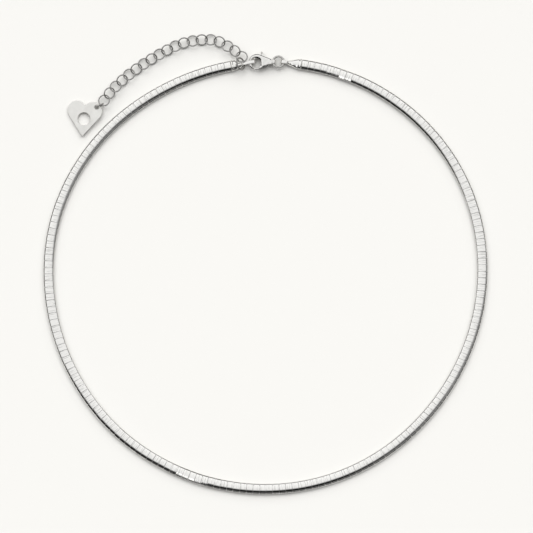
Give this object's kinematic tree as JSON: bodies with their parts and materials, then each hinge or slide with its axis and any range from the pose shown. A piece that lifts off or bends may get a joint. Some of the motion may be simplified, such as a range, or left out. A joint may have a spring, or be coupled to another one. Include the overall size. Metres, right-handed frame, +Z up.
{
  "type": "omega necklace",
  "caption": "Silver omega necklace: a flat-lying collar of domed plates, closed by a lobster clasp, with an extender chain that ends in a plain heart tag.",
  "frame": {"origin": "middle of the loop, on the plane that it lies on", "axes": "+Z up from the table, the domed face's side; +Y from the loop's middle towards the clasp; +X to the right seen from above with the clasp at the top"},
  "size_m": [0.1325, 0.1372, 0.0042],
  "materials": {
    "polished_silver": "polished",
    "core_silver": "satin",
    "tag_silver": "satin"
  },
  "bodies": {
    "necklace": {"plates_right": "polished_silver", "plates_left": "polished_silver", "band_core": "core_silver", "cap_left": "polished_silver", "cap_right": "polished_silver", "clasp_body": "polished_silver", "clasp_ring": "polished_silver", "extender_ring": "polished_silver", "extender_link_01": "polished_silver", "extender_link_02": "polished_silver", "extender_link_03": "polished_silver", "extender_link_04": "polished_silver", "extender_link_05": "polished_silver", "extender_link_06": "polished_silver", "extender_link_07": "polished_silver", "extender_link_08": "polished_silver", "extender_link_09": "polished_silver", "extender_link_10": "polished_silver", "extender_link_11": "polished_silver", "extender_link_12": "polished_silver", "extender_link_13": "polished_silver", "extender_link_14": "polished_silver", "extender_link_15": "polished_silver", "extender_link_16": "polished_silver", "extender_link_17": "polished_silver", "extender_link_18": "polished_silver", "extender_link_19": "polished_silver", "tag_ring": "polished_silver", "heart_tag": "tag_silver"},
    "clasp_lever": {"clasp_lever": "polished_silver"}
  },
  "joints": [
    {"name": "lever", "type": "hinge", "parent": "necklace", "child": "clasp_lever", "pos_m": [-0.00051, 0.06206, 0.0011], "axis": [0, 0, -1], "range_deg": [0, 20], "stiffness_Nm_per_rad": 0.002, "springref_deg": -17.19}
  ]
}
